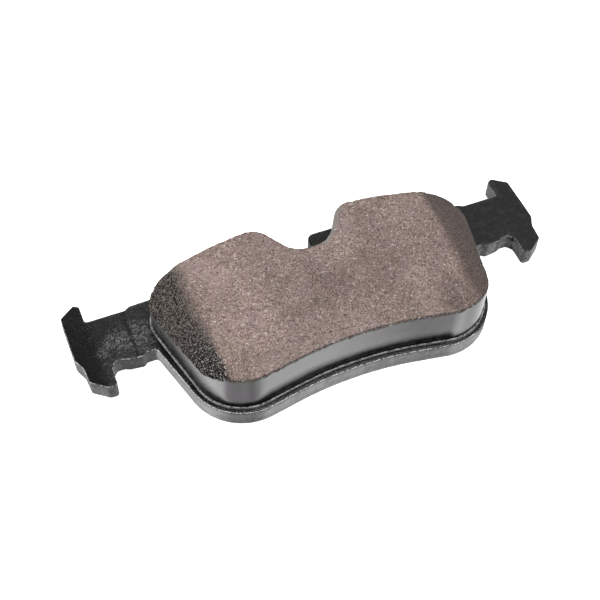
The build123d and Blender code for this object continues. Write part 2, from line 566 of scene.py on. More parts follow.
def face_rim(mat, base, fine):
    """Ragged dark line of broken grain along the edge."""
    rim = mat.add("ShaderNodeAttribute", {}, "Fac",
                  attribute_type="GEOMETRY", attribute_name="rim")
    rim = rim + mat.wobble(reach=0.9, size=0.7, detail=2)
    front = mat.y.fall(over=(-3.0, 5.0))
    line = rim.span(over=(0.05, 0.60), give=(0.85, 0.0)) * mat.lerp(off=0.45, on=1.0, by=front)
    bits = mat.noise(size=0.45, detail=2, rough=0.7, vector=mat.turned(angle=1.1, shift=9.0))
    bits = rim.fall(over=(0.25, 0.80)) * front * bits.span(over=(0.56, 0.62))
    # a paler stretch on the back edge, just right of the middle
    cheek = abs(mat.x - 7.5).fall(over=(3.5, 6.0)) * mat.y.span(over=(7.0, 10.0))
    pale = mat.blend(srgb(112, 110, 102), srgb(176, 174, 166), by=fine)
    return mat.layers(base, [
        (srgb(62, 51, 47), line),
        (srgb(160, 158, 150), bits),
        (pale, rim.span(over=(0.5, 1.5), give=(0.80, 0.0)) * cheek),
    ])


def face_tone(mat, broad):
    """Slow change of brightness across the face."""
    wide = (broad - 0.5) * 9.0

    def patch(x, y, squash, full, gone, amount):
        dx = (mat.x - x) / squash
        dy = mat.y - y
        distance = mat.math("SQRT", dx * dx + dy * dy)
        return (distance + wide).fall(over=(full, gone)) * amount

    # a brighter band from front to back on the left
    tone = 1.0 + (abs(mat.x + 23.0) + wide).fall(over=(2.0, 12.0)) * 0.17
    for spot in DARKER:
        tone = tone - patch(*spot)
    for spot in BRIGHTER:
        tone = tone + patch(*spot)
    return tone


def face_chamfers(mat, base):
    """Dark, sandy chamfers with a ragged border. Returns the colour and the left mask."""
    wander = mat.wobble(reach=2.2, size=2.4)
    front = mat.y.fall(over=(-14.0, 4.0))
    outward_left = mat.x * -1.0 + wander
    outward_right = mat.x + wander

    def border(outward, start, end):
        """Start and end of the border, each at the back and at the front."""
        return outward.span(over=[
            mat.lerp(off=CHAMFER_X + back, on=CHAMFER_X + fore, by=front)
            for back, fore in (start, end)])

    left = border(outward_left, start=(-2.2, -1.7), end=(2.8, 0.1))
    right = border(outward_right, start=(-1.4, -3.4), end=(1.6, 0.6))
    grit = mat.noise(size=0.38, rough=0.75)
    # painted glints: bright white specks laid into the black chamfer's colour
    glint = mat.noise(size=0.34, detail=2, rough=0.75, vector=mat.turned(angle=0.4, shift=23.0))
    black = mat.blend(grey(0), srgb(150, 148, 144), by=grit.span(over=(0.54, 0.62)))
    black = mat.blend(black, srgb(255, 255, 250), by=glint.span(over=(0.625, 0.66)))
    dull = mat.blend(grey(6), srgb(134, 128, 123), by=grit.span(over=(0.46, 0.60)))
    dark_left = mat.blend(black, dull, by=(mat.y + (wander + wander)).span(over=(-13.0, 1.0)))
    sand = mat.lerp(off=mat.noise(size=0.29, detail=2, rough=0.7), on=grit, by=0.5)
    dark_right = mat.blend(srgb(34, 27, 25), srgb(122, 107, 101),
                           by=sand.span(over=(0.38, 0.62)))
    # the outer half of the right chamfer is greyer and darker
    outer = mat.blend(srgb(36, 34, 32), srgb(98, 94, 90), by=sand.span(over=(0.38, 0.62)))
    outer_half = outward_right.span(over=(CHAMFER_X + 1.5, CHAMFER_X + 6.0), give=(0.0, 0.6))
    dark_right = mat.blend(dark_right, outer, by=outer_half)
    return mat.layers(base, [(dark_left, left * 0.95), (dark_right, right * 0.92)]), left


def friction_face():
    mat = Material("friction_face")
    fine = mat.noise(size=0.27, detail=2, rough=0.65)
    broad = mat.noise(size=11.0, detail=2, rough=0.5)
    small = mat.cell_shade(size=0.27)
    base = face_rim(mat, face_grain(mat, fine, broad, small), fine)
    # painted glints: a few pale specks over the face
    sparkle = small.span(over=(0.990, 0.994), give=(0.0, 0.8))
    base = mat.blend(base, srgb(232, 218, 212), by=sparkle)
    base = mat.add("ShaderNodeVectorMath", {0: base, "Scale": face_tone(mat, broad)},
                   operation="SCALE")
    colour, left = face_chamfers(mat, base)
    mat.set(Base_Color=colour,
            Roughness=fine.span(over=(0.2, 0.8), give=(0.95, 0.70)),
            Specular_IOR_Level=mat.lerp(off=0.22, on=0.06, by=left))
    grains = fine * 0.6 + (1.0 - mat.cells(size=0.42)) * 0.4
    coarse = mat.bump(grains, depth=0.10, strength=0.55)
    mat.set(Normal=mat.bump(mat.noise(size=0.15, detail=2), depth=0.04, strength=0.5,
                            under=coarse))
    return mat.material


# ------------------------------------------------------------------ block side and bond
def foot_black_and_shade(mat):
    """0 at the matt foot of the side, 1 where it turns glossy; higher up by the left neck.
    Towards 0 the colour darkens: the underlayer's own black, and above it painted shade for the
    shadowed floor and left neck that the side reflects.
    """
    left = mat.x.fall(over=(-27.0, -23.0))
    right = mat.x.span(over=(22.5, 25.0))
    height = mat.z + mat.wobble(reach=0.9, size=1.4)
    neck = (-32.5 - mat.x).at_least(0.0)
    soft = mat.x.span(over=(-25.0, -22.0)) * mat.x.span(over=(-14.0, -2.0), give=(0.8, 0.0))
    matt = mat.lerp(off=mat.lerp(off=7.95, on=7.3, by=left), on=6.6, by=right) + neck * 0.35
    gloss = mat.lerp(off=mat.lerp(off=11.2, on=9.0, by=left), on=8.4, by=right) + neck * 1.85
    return height.span(over=(matt + soft * 0.3, gloss + soft))


def friction_side():
    """Smooth satin black, matt at its foot, where painted shade darkens it."""
    mat = Material("friction_side")
    tint = mat.noise(size=7.0, detail=1, rough=0.5)
    foot = foot_black_and_shade(mat)
    flecks = mat.noise(size=0.9, rough=0.7).span(over=(0.66, 0.74), give=(0.0, 0.35))
    colour = mat.blend(srgb(46, 53, 47), srgb(54, 47, 54), by=tint.span(over=(0.35, 0.65)))
    colour = mat.blend(colour, srgb(96, 96, 92), by=flecks)
    dull = mat.noise(size=2.0).span(over=(0.35, 0.65), give=(0.010, 0.035))
    # painted shade: the colour fades to near black towards the foot
    mat.set(Base_Color=mat.blend(srgb(3, 3, 4), colour, by=foot),
            Roughness=mat.lerp(off=0.40, on=0.19, by=foot),
            Specular_IOR_Level=mat.lerp(off=dull, on=0.50, by=foot))
    waves = mat.bump(mat.noise(size=1.6, rough=0.55), depth=0.03, strength=0.12)
    mat.set(Normal=mat.bump(mat.noise(size=0.25, detail=2, rough=0.5), depth=0.006,
                            strength=0.3, under=waves))
    return mat.material


def underlayer_black():
    """Near black, turning glossy upwards as the block side does."""
    mat = Material("underlayer_black")
    grain = mat.noise(size=0.5)
    foot = foot_black_and_shade(mat)
    colour = mat.blend(grey(2), srgb(8, 8, 9), by=grain.span(over=(0.35, 0.7)))
    matt = grain.span(over=(0.3, 0.7), give=(0.35, 0.50))
    dull = mat.noise(size=2.0).span(over=(0.35, 0.65), give=(0.004, 0.016))
    mat.set(Base_Color=mat.blend(colour, srgb(46, 48, 46), by=foot),
            Roughness=mat.lerp(off=matt, on=0.20, by=foot),
            Specular_IOR_Level=mat.lerp(off=dull, on=0.50, by=foot),
            Normal=mat.bump(mat.noise(size=0.35), depth=0.015,
                            strength=mat.lerp(off=0.5, on=0.15, by=foot)))
    return mat.material


def bond_bead():
    """Squeezed-out bonding resin: black below, with a painted highlight of mottled grey on its
    crest.
    """
    mat = Material("bond_bead")
    mottle = mat.noise(size=0.8)
    highlight_grey = mat.blend(srgb(70, 70, 69), srgb(186, 185, 180),
                           by=mottle.span(over=(0.36, 0.58)))
    # painted highlight: a thin grey line along the crest
    crest_highlight = (mat.z.span(over=(PLATE_TOP + 0.25, PLATE_TOP + 0.33))
             * mat.noise(size=1.3, detail=2).span(over=(0.34, 0.46), give=(0.30, 1.0)))
    mat.set(Base_Color=mat.blend(grey(16), highlight_grey, by=crest_highlight),
            Roughness=mottle.span(over=(0.3, 0.7), give=(0.40, 0.24)),
            Specular_IOR_Level=0.5,
            Normal=mat.bump(mat.noise(size=0.4), depth=0.03, strength=0.6))
    return mat.material


# ------------------------------------------------------------------ plate coat
# colour of the painted highlight on rounded edges
EDGE_HIGHLIGHT = grey(240)


def edge_highlight(mat):
    """Dotted line of painted highlight on the rounded top edge of the plate."""
    height = mat.z + mat.wobble(reach=0.35, size=1.1, detail=2)
    band = (height.span(over=(PLATE_TOP - 0.52, PLATE_TOP - 0.42))
            * height.fall(over=(PLATE_TOP - 0.28, PLATE_TOP - 0.20)))
    dots = mat.noise(size=0.50, rough=0.7, vector=mat.stretched((1.0, 1.0, 0.5)))
    return band * dots.span(over=(0.46, 0.54)) * 0.95


def slot_mask(mat, across):
    """The slot in the middle of the back edge."""
    return across.fall(over=(16.0, 20.0)) * mat.y.span(over=(6.0, 9.0))


def neck_scuff(mat, across, left, blot):
    """Scuffing on the neck of the left ear, leaving its outer end clean."""
    back = (mat.y - 7.0).at_least(0.0)
    ear = (across.span(over=(40.5, 43.0))
           * (across + blot * 6.0 + back * 1.1).fall(over=(57.5, 60.0)))
    ragged_y = mat.y + (blot - 0.5) * 8.0
    strip = (ragged_y.span(over=(3.5, 6.5), give=(0.25, 1.0))
             * ragged_y.span(over=(10.5, 13.0), give=(1.0, 0.12)))
    breaks = mat.noise(size=1.1, rough=0.7).span(over=(0.40, 0.54), give=(0.25, 1.0))
    return ear * left * strip * breaks


def powder_coat():
    """Black powder coat: pebbled, speckled with painted glints, scuffed towards grey on the
    ears, with a painted highlight along the top edge.
    """
    mat = Material("powder_coat")
    pebbles = mat.cells(size=0.55, feature="SMOOTH_F1")
    fine = mat.noise(size=0.26, rough=0.65)
    blot = mat.noise(size=4.5, detail=4, rough=0.62)
    across = abs(mat.x)
    left = mat.x.fall(over=(-20.0, 20.0))
    right_ear = mat.x.span(over=(41.0, 44.0))

    scuffed = mat.blend(srgb(8, 8, 9), srgb(146, 142, 143),
                        by=mat.noise(size=0.42, rough=0.75).span(over=(0.43, 0.63)))
    plain = mat.blend(srgb(34, 34, 35), srgb(46, 46, 47), by=fine.span(over=(0.3, 0.7)))
    # painted glints: pale specks on the ears, fewer at their ends, more low on the right ear
    glint_specks = (mat.noise(size=0.36, detail=2, rough=0.8).span(over=(0.63, 0.68))
            * blot.span(over=(0.40, 0.56)))
    glint_specks = glint_specks * across.span(over=(55.5, 57.5), give=(1.0, 0.25))
    right_glint_specks = mat.y.span(over=(2.0, 9.0), give=(0.55, 0.22))
    pale_cloud = mat.noise(size=2.0).span(over=(0.50, 0.66), give=(0.0, 0.55))
    dark_cloud = mat.noise(size=1.3).span(over=(0.60, 0.70), give=(0.0, 0.7))
    # a fine crease across the left neck, its dark colour painted shade
    crease = abs(mat.x + 47.2 + mat.wobble(reach=2.4, size=2.0, detail=4, rough=0.65))
    crease = (crease.fall(over=(0.15, 0.75))
              * (left * mat.noise(size=1.2, detail=2).span(over=(0.36, 0.46))))
    # painted glints: bright speckles on the ledge round the block
    ledge_glints = across.fall(over=(38.5, 41.0)) * mat.y.fall(over=(6.0, 9.0))
    ledge_glints = ledge_glints * mat.noise(size=0.36, rough=0.75).span(over=(0.55, 0.62), give=(0.0, 0.9))
    ledge_glints = ledge_glints * mat.noise(size=2.2, detail=2).span(over=(0.36, 0.58), give=(0.35, 1.0))
    clean = mat.blend(grey(3), srgb(20, 20, 21), by=fine.span(over=(0.4, 0.7)))

    colour = mat.blend(grey(4), srgb(36, 36, 37), by=fine.span(over=(0.42, 0.70)))
    colour = mat.layers(colour, [
        (scuffed, neck_scuff(mat, across, left, blot) * 0.90),
        (plain, right_ear * 0.85),
        (srgb(176, 176, 174), glint_specks * mat.lerp(off=1.0, on=right_glint_specks, by=right_ear)),
        (grey(60), right_ear * pale_cloud),
        (grey(20), right_ear * dark_cloud),
        (grey(6), crease),
        (srgb(140, 140, 139), ledge_glints),
        (clean, slot_mask(mat, across)),
        (EDGE_HIGHLIGHT, edge_highlight(mat)),
    ])
    # a greyer line low on the rounded back edge
    foot = mat.z.span(over=(PLATE_BACK + 0.40, PLATE_BACK + 0.28))
    foot = foot * mat.z.span(over=(PLATE_BACK + 0.01, PLATE_BACK + 0.04))
    foot_grey = mat.blend(srgb(84, 85, 86), srgb(112, 113, 114), by=fine)
    # the outer end of the left ear shines less
    left_end = across.span(over=(54.0, 57.0)) * left
    shine = mat.lerp(off=0.5, on=0.25, by=left_end)
    mat.set(Base_Color=mat.blend(colour, foot_grey, by=foot),
            Roughness=fine.span(over=(0.3, 0.7), give=(0.26, 0.46)),
            Specular_IOR_Level=mat.lerp(off=shine, on=0.03, by=foot))
    # the right ear is smoother
    calm = right_ear * 0.75
    relief = mat.bump(pebbles * (1.0 - calm) - crease * 1.5, depth=0.09, strength=0.70)
    mat.set(Normal=mat.bump(fine, depth=0.04, strength=0.65 - calm * 0.5, under=relief))
    return mat.material


def ear_side_grey(mat, arch_shadow, patch):
    """Sides of the right ear: mottled grey, with a few black patches, painted shadow in the arch
    of the hook and a painted highlight on its rim.
    """
    colour = mat.blend(srgb(56, 57, 58), srgb(106, 107, 108),
                       by=mat.noise(size=1.2, rough=0.65).span(over=(0.40, 0.60)))
    arch_shadow_colour = mat.blend(srgb(8, 8, 9), srgb(66, 67, 68), by=patch)
    return mat.layers(colour, [
        (srgb(12, 12, 13), mat.noise(size=1.8, detail=2).span(over=(0.60, 0.64))),
        (arch_shadow_colour, arch_shadow),
        (EDGE_HIGHLIGHT, arch_shadow * edge_highlight(mat)),
    ])


def powder_coat_edge():
    """Sheared edge of the plate under the coat, with faint vertical shear marks."""
    mat = Material("powder_coat_edge")
    fine = mat.noise(size=0.35, rough=0.65)
    shear = mat.noise(size=0.80, detail=4, vector=mat.stretched((1.0, 1.0, 0.35)))
    blot = mat.noise(size=3.5)
    across = abs(mat.x)
    ear = across.span(over=(42.0, 44.0))

    low = mat.z.fall(over=(PLATE_BACK + 1.0, PLATE_BACK + 2.6))
    low_spots = mat.noise(size=1.4, rough=0.65).span(over=(0.50, 0.62), give=(0.0, 0.8))
    stain = (abs(mat.x + 26.5).fall(over=(0.6, 2.6))
             * mat.noise(size=1.0).span(over=(0.42, 0.54)))
    # black along the right end of the body, before the ear, is painted shade for the shadowed
    # floor it reflects; the slot is black too
    slanted = mat.z + (mat.x - 32.0) * 0.95
    black = (slanted.span(over=(3.2, 4.8))
             * (mat.x.span(over=(26.0, 29.0)) * mat.x.fall(over=(41.0, 42.5))))
    black = black.at_least(slot_mask(mat, across))
    # a short stretch on the front side of the right ear: painted shadow in the arch of the hook
    arch_shadow = abs(mat.x - 51.4).fall(over=(2.0, 3.0)) * mat.y.fall(over=(2.0, 4.0))
    patch = mat.noise(size=1.6, detail=2).span(over=(0.46, 0.60))

    colour = mat.blend(srgb(30, 31, 32), srgb(70, 71, 72), by=shear.span(over=(0.34, 0.66)))
    colour = mat.layers(colour, [
        (srgb(12, 12, 13), low * low_spots),
        (grey(6), stain * 0.9),
        (srgb(22, 22, 23), blot.span(over=(0.50, 0.72), give=(0.0, 0.55))),
        # painted glints: pale flecks over the side
        (grey(120), fine.span(over=(0.66, 0.78), give=(0.0, 0.4))),
        (EDGE_HIGHLIGHT, edge_highlight(mat)),
        (grey(10), black),
        (ear_side_grey(mat, arch_shadow, patch), mat.x.span(over=(41.0, 43.0)) * 0.85),
    ])
    # shine: less in a line under the top edge, low down, in the shadowed arch and on the black
    height = mat.z + mat.wobble(reach=1.2, size=3.0)
    groove = abs(height - (PLATE_TOP - 0.85)).fall(over=(0.10, 0.60)) * 0.42
    lower = height.fall(over=(PLATE_BACK + 1.6, PLATE_BACK + 2.3)) * 0.24
    shine = mat.lerp(off=0.54 * (1.0 - groove.at_least(lower)), on=0.21, by=ear)
    dull_arch_shadow = arch_shadow * (mat.x.span(over=(41.0, 43.0)) * (1.0 - patch * 0.5))
    shine = mat.lerp(off=shine, on=0.02, by=dull_arch_shadow)
    not_left_ear = 1.0 - ear * mat.x.fall(over=(0.0, 1.0))
    mat.set(Base_Color=colour,
            Roughness=blot.span(over=(0.3, 0.7), give=(0.24, 0.40)) + ear * 0.15,
            Specular_IOR_Level=mat.lerp(off=shine, on=0.05, by=black * not_left_ear))
    marks = mat.bump(shear, depth=0.04, strength=0.40)
    mat.set(Normal=mat.bump(fine, depth=0.03, strength=0.5, under=marks))
    return mat.material


# ------------------------------------------------------------------ shim materials
def shim_rubber():
    mat = Material("shim_rubber")
    grain = mat.noise(size=0.30)
    blot = mat.noise(size=8.0, rough=0.55)
    colour = mat.blend(srgb(30, 30, 32), srgb(46, 46, 48), by=grain.span(over=(0.3, 0.7)))
    colour = mat.blend(colour, srgb(62, 62, 64),
                       by=blot.span(over=(0.45, 0.7), give=(0.0, 0.35)))
    mat.set(Base_Color=colour,
            Roughness=blot.span(over=(0.3, 0.7), give=(0.55, 0.75)),
            Specular_IOR_Level=0.35,
            Normal=mat.bump(grain, depth=0.03, strength=0.6))
    return mat.material


def shim_steel():
    """Brushed along X."""
    mat = Material("shim_steel")
    brushed = mat.noise(size=0.5, vector=mat.stretched((0.15, 1.0, 1.0)))
    colour = mat.blend(srgb(150, 152, 154), srgb(190, 192, 194),
                       by=brushed.span(over=(0.3, 0.7)))
    mat.set(Base_Color=colour, Metallic=0.9,
            Roughness=brushed.span(over=(0.3, 0.7), give=(0.30, 0.45)),
            Normal=mat.bump(brushed, depth=0.01, strength=0.5))
    return mat.material


def shim_glue():
    mat = Material("shim_glue")
    cloud = mat.noise(size=0.8)
    colour = mat.blend(srgb(150, 146, 136), srgb(190, 186, 176),
                       by=cloud.span(over=(0.3, 0.7)))
    mat.set(Base_Color=colour, Roughness=0.55,
            Normal=mat.bump(cloud, depth=0.02, strength=0.5))
    return mat.material


FACE, SIDE, UNDER, BEAD = friction_face(), friction_side(), underlayer_black(), bond_bead()
COAT, COAT_EDGE = powder_coat(), powder_coat_edge()
RUBBER, STEEL, GLUE = shim_rubber(), shim_steel(), shim_glue()

# ------------------------------------------------------------------ sampled outlines
BLOCK_CORNERS, PLATE_CORNERS = mirrored(BLOCK_HALF), mirrored(PLATE_HALF)
PLATE_SEGMENTS = segment_counts(PLATE_CORNERS, PLATE_STEP)
BLOCK, BLOCK_NORMALS = sampled(BLOCK_CORNERS, segment_counts(BLOCK_CORNERS, BLOCK_STEP))
PLATE, PLATE_NORMALS = sampled(PLATE_CORNERS, PLATE_SEGMENTS)


def match_frame(node, points, tolerance=0.04):
    """The sampled outline must agree with the CAD solid's box."""
    lo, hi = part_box(node)
    ours = (*points.min(0), *points.max(0))
    for a, b in zip(ours, (lo.x, lo.y, hi.x, hi.y)):
        if abs(a * MM - b) > tolerance * MM:
            raise ValueError(f"outline of {node} is off the CAD solid: {a:.3f}, {b / MM:.3f}")


match_frame("friction_block", BLOCK)
match_frame("backing_plate", PLATE)


def block_offset(out):
    """The block outline moved along its normals, by one distance or one per point."""
    return BLOCK + BLOCK_NORMALS * np.reshape(out, (-1, 1))


def face_height(x):
    """Height of the block's top: flat, then falling along the chamfers."""
    past = np.abs(x) - CHAMFER_X
    soft = 0.5 * (past + np.sqrt(past * past + CHAMFER_BLEND * CHAMFER_BLEND))
    return BLOCK_TOP - CHAMFER_SLOPE * soft


def replace_solid(ob, node):
    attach(ob, "root")
    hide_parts(node)


# ------------------------------------------------------------------ friction block
def broken_edge(edge):
    """How far the top edge is eaten down the side and into the face, point by point."""
    ragged = np.abs(layered_noise(edge, size=0.85, seed=5, octaves=2))
    chips = np.clip(layered_noise(edge, size=1.5, seed=11, octaves=2) - 0.30, 0, 1) * 1.6
    bites = np.clip(layered_noise(edge, size=3.1, seed=23, octaves=2) - 0.34, 0, 1) * 1.9
    front = smooth(-edge[:, 1], start=-2.0, end=6.0)
    down = 0.02 + (0.30 + 0.80 * front) * ragged + 0.60 * chips + 0.34 * bites
    across = 0.05 + (0.30 + 0.65 * front) * ragged + 0.60 * chips + 0.42 * bites
    return np.minimum(down, 0.75), np.minimum(across, 0.85)


def face_relief(points):
    """Set the heights of the face: finely pitted, rougher on the chamfers."""
    flat = raised(points[:, :2], 0.0)
    chamfer = smooth(np.abs(points[:, 0]), start=CHAMFER_X - 0.5, end=CHAMFER_X + 1.0)
    ground = 0.022 * value_noise(flat, size=0.8, seed=61)
    ground = ground + 0.020 * value_noise(flat, size=1.7, seed=67)
    ground = ground - 0.16 * np.clip(value_noise(flat, size=1.15, seed=71) - 0.45, 0, 1)
    rough = 0.070 * value_noise(flat, size=0.85, seed=73)
    rough = rough + 0.05 * value_noise(flat, size=2.0, seed=79)
    rough = rough - 0.10 * np.clip(value_noise(flat, size=1.4, seed=83) - 0.3, 0, 1)
    height = ground * (1 - chamfer) + rough * chamfer
    points[:, 2] = np.minimum(face_height(points[:, 0]) + (height - 0.06), BLOCK_TOP)
    return points


def friction_block():
    face_slot, side_slot = 0, 1
    build = Build()
    edge_z = face_height(BLOCK[:, 0])
    down, across = broken_edge(raised(BLOCK, edge_z))
    rings = []
    for t in np.linspace(0, 1, 15):
        ring = raised(BLOCK, UNDER_TOP + (edge_z - down - UNDER_TOP) * t)
        swell = (0.010 * value_noise(ring, size=1.8, seed=31)
                 + 0.018 * value_noise(ring, size=6.0, seed=37)) - 0.018
        ring[:, :2] += BLOCK_NORMALS * swell[:, None]
        rings.append(build.add(ring))
    build.skin(rings, side_slot)
    # broken edge: two rings between side and face, and one just inside the face
    ring = raised(block_offset(-across * 0.42), edge_z - down * 0.38)
    ring += jitter(ring, reach=0.035, size=0.5, seeds=(41, 43, 47))
    ring[:, 2] = np.minimum(ring[:, 2], BLOCK_TOP)
    middle = build.add(ring)
    outline = block_offset(-across)
    ring = raised(outline, face_height(outline[:, 0]))
    ring[:, 2] -= 0.03 + 0.03 * value_noise(ring, size=0.6, seed=53)
    lip = build.add(ring)
    outline = block_offset(-(across + 0.40))
    border = build.add(raised(outline, face_height(outline[:, 0])))
    build.skin([rings[-1], middle, lip, border], face_slot)
    spacing = 0.40
    inner = build.fill([outline], [border], 0.0, spacing, seed=3, slot=face_slot)
    # flat underside
    build.fill([BLOCK], [rings[0]], UNDER_TOP, spacing=3.0, seed=4, slot=side_slot)
    points = build.points()
    face = np.concatenate([border, inner])
    points[face] = face_relief(points[face])
    ob = build.make("friction_block_mesh", points, [FACE, SIDE], sharp_deg=60)
    # distance from the edge, which the face material reads
    rim = np.zeros(len(points))
    rim[face] = nearest(points[face][:, :2], BLOCK[::2])
    rim[lip] = across
    ob.data.attributes.new("rim", "FLOAT", "POINT").data.foreach_set("value", rim)
    return ob


replace_solid(friction_block(), "friction_block")


# ------------------------------------------------------------------ underlayer and bond film
def cap_ends(build, rings, low, high, spacing, seeds):
    points = build.points()
    for ring, z, seed in zip((rings[0], rings[-1]), (low, high), seeds):
        build.fill([points[ring][:, :2]], [ring], z, spacing, seed)


def underlayer():
    build = Build()
    rings = []
    for z in np.linspace(UNDER_LOW, UNDER_TOP, 9):
        ring = raised(BLOCK, z)
        swell = (0.022 * value_noise(ring, size=0.9, seed=101)
                 + 0.03 * value_noise(ring, size=2.6, seed=103) - 0.035)
        ring[:, :2] += BLOCK_NORMALS * swell[:, None]
        rings.append(build.add(ring))
    build.skin(rings)
    cap_ends(build, rings, UNDER_LOW, UNDER_TOP, spacing=3.0, seeds=(5, 6))
    return build.make("underlayer_mesh", build.points(), [UNDER], sharp_deg=40)


replace_solid(underlayer(), "underlayer")


def bond_film():
    """Film with its squeezed-out bead, wider towards the ends of the block."""
    build = Build()
    swell = 0.5 + 0.5 * layered_noise(raised(BLOCK, 0.0), size=2.2, seed=131, octaves=3)
    ends = smooth(np.abs(BLOCK[:, 0]), start=21.0, end=26.0)
    width = 0.16 + 0.18 * swell + 0.16 * ends
    height = 0.32 + 0.12 * swell
    rings = [build.add(raised(block_offset(width * 0.92), PLATE_TOP))]
    for angle in np.linspace(0, math.pi / 2, 7):
        ring = raised(block_offset(width * math.cos(angle)),
                      PLATE_TOP + 0.04 + height * math.sin(angle))
        ring += jitter(ring, reach=0.02, size=0.45, seeds=(137, 139, 149))
        ring[:, 2] = np.maximum(ring[:, 2], PLATE_TOP)
        rings.append(build.add(ring))
    rings.append(build.add(raised(block_offset(-0.12), UNDER_LOW)))
    build.skin(rings)
    cap_ends(build, rings, PLATE_TOP, UNDER_LOW, spacing=3.5, seeds=(7, 8))
    return build.make("bond_film_mesh", build.points(), [BEAD], sharp_deg=70)


replace_solid(bond_film(), "bond_film")

# ------------------------------------------------------------------ backing plate
# Pip from its root in the back face to its end: radius, z.
PIP_PROFILE = [
    (PIP_R + 0.18, PLATE_BACK), (PIP_R + 0.05, PLATE_BACK - 0.05), (PIP_R, PLATE_BACK - 0.15),
    (PIP_R, PIP_END + 0.15), (PIP_R - 0.05, PIP_END + 0.05), (PIP_R - 0.16, PIP_END),
    (PIP_R * 0.55, PIP_END + 0.01), (PIP_R * 0.2, PIP_END + 0.03),
]
PIP_SEGMENTS = 40


def plate_profile():
    """Offset and z down the side of the plate, from top face to back face."""
    profile = []
    for k in range(5):
        a = math.radians(90 - 22.5 * k)
        profile.append((-EDGE_R + EDGE_R * math.cos(a),
                        PLATE_TOP - EDGE_R + EDGE_R * math.sin(a)))
    for z in np.linspace(PLATE_TOP - EDGE_R, PLATE_BACK + EDGE_BACK_R, 11)[1:-1]:
        profile.append((0.0, z))
    for k in range(6):
        a = math.radians(-18 * k)
        profile.append((-EDGE_BACK_R + EDGE_BACK_R * math.cos(a),
                        PLATE_BACK + EDGE_BACK_R + EDGE_BACK_R * math.sin(a)))
    return profile


def add_pip(build, pip_x):
    """A round pip; returns the ring at its root."""
    a = np.arange(PIP_SEGMENTS) * 2 * math.pi / PIP_SEGMENTS
    loops = []
    for radius, z in PIP_PROFILE:
        circle = np.column_stack([pip_x + radius * np.cos(a), PIP_Y + radius * np.sin(a)])
        loops.append(build.add(raised(circle, z)))
    build.skin(loops)
    centre = build.add([[pip_x, PIP_Y, PIP_PROFILE[-1][1]]])[0]
    for i in range(PIP_SEGMENTS):
        build.face((loops[-1][i], loops[-1][(i + 1) % PIP_SEGMENTS], centre), 0)
    return loops[0]


def orange_peel(points, rings, top, back):
    """Unevenness of the coat, as real geometry."""
    for ids in rings:
        ring = points[ids]
        swell = (0.022 * value_noise(ring, size=0.75, seed=151)
                 + 0.020 * value_noise(ring, size=1.9, seed=157) - 0.03)
        points[ids, :2] += PLATE_NORMALS * swell[:, None]
    for ids in (rings[0], rings[1], top):
        area = points[ids]
        lift = (0.020 * value_noise(area, size=0.9, seed=163)
                + 0.024 * value_noise(area, size=2.4, seed=167)
                + 0.02 * value_noise(area, size=6.0, seed=173))
        points[ids, 2] += lift - 0.045
    lift = 0.014 * value_noise(points[back], size=1.2, seed=179) + 0.01
    points[back, 2] += np.maximum(lift, 0.0)


def backing_plate():
    face_slot, edge_slot = 0, 1
    build = Build()
    rings = []
    for out, z in plate_profile():
        outline, _ = sampled(grown(PLATE_CORNERS, out), PLATE_SEGMENTS)
        rings.append(build.add(raised(outline, z)))
    for i, (a, b) in enumerate(zip(rings[:-1], rings[1:])):
        build.strip(a, b, edge_slot if 2 <= i < len(rings) - 3 else face_slot)
    points = build.points()
    top = build.fill([points[rings[0]][:, :2]], [rings[0]], PLATE_TOP, spacing=0.55, seed=9)
    # back face, open where the two pips stand
    borders = [rings[-1]] + [add_pip(build, side * PIP_X) for side in (-1, 1)]
    points = build.points()
    back = build.fill([points[ids][:, :2] for ids in borders], borders, PLATE_BACK,
                      spacing=0.75, seed=10)
    points = build.points()
    orange_peel(points, rings, top, back)
    return build.make("backing_plate_mesh", points, [COAT, COAT_EDGE], sharp_deg=50)


plate = backing_plate()
replace_solid(plate, "backing_plate")
plate.visible_glossy = False

# ------------------------------------------------------------------ shim: CAD solids, own finish
for node, material in (("shim_facing", RUBBER), ("shim_outer_steel", STEEL),
                       ("shim_damping_core", RUBBER), ("shim_inner_steel", STEEL),
                       ("shim_adhesive", GLUE)):
    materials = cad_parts[node].data.materials
    materials.clear()
    materials.append(material)

# ------------------------------------------------------------------ floor
FLOOR_HALF = 3.0        # metres
FLOOR_Z = -0.06 * MM


def floor_white():
    """White and faintly lit. It is clear from below and lets the lower light through."""
    mat = Material("floor_white")
    camera_ray = mat.add("ShaderNodeLightPath", {}, "Is Camera Ray")
    mat.set(Base_Color=(0.80, 0.80, 0.80), Roughness=0.8, Specular_IOR_Level=0.0,
            Emission_Color=(1.0, 1.0, 1.0),
            Emission_Strength=mat.lerp(off=0.15, on=1.2, by=camera_ray))
    from_below = mat.add("ShaderNodeNewGeometry", {}, "Backfacing")
    clear = from_below.at_least(camera_ray.sibling("Is Shadow Ray"))
    sheet = mat.add("ShaderNodeMixShader", {
        0: clear, 1: mat.shader, 2: mat.add("ShaderNodeBsdfTransparent", {})})
    mat.put(mat.surface, sheet)
    return mat.material


def floor():
    mesh = bpy.data.meshes.new("floor")
    bm = bmesh.new()
    bm.faces.new([bm.verts.new((x * FLOOR_HALF, y * FLOOR_HALF, FLOOR_Z))
                  for x, y in ((-1, -1), (1, -1), (1, 1), (-1, 1))])
    bm.to_mesh(mesh)
    bm.free()
    ob = linked("floor", mesh)
    mesh.materials.append(floor_white())
    ob.visible_glossy = False


floor()

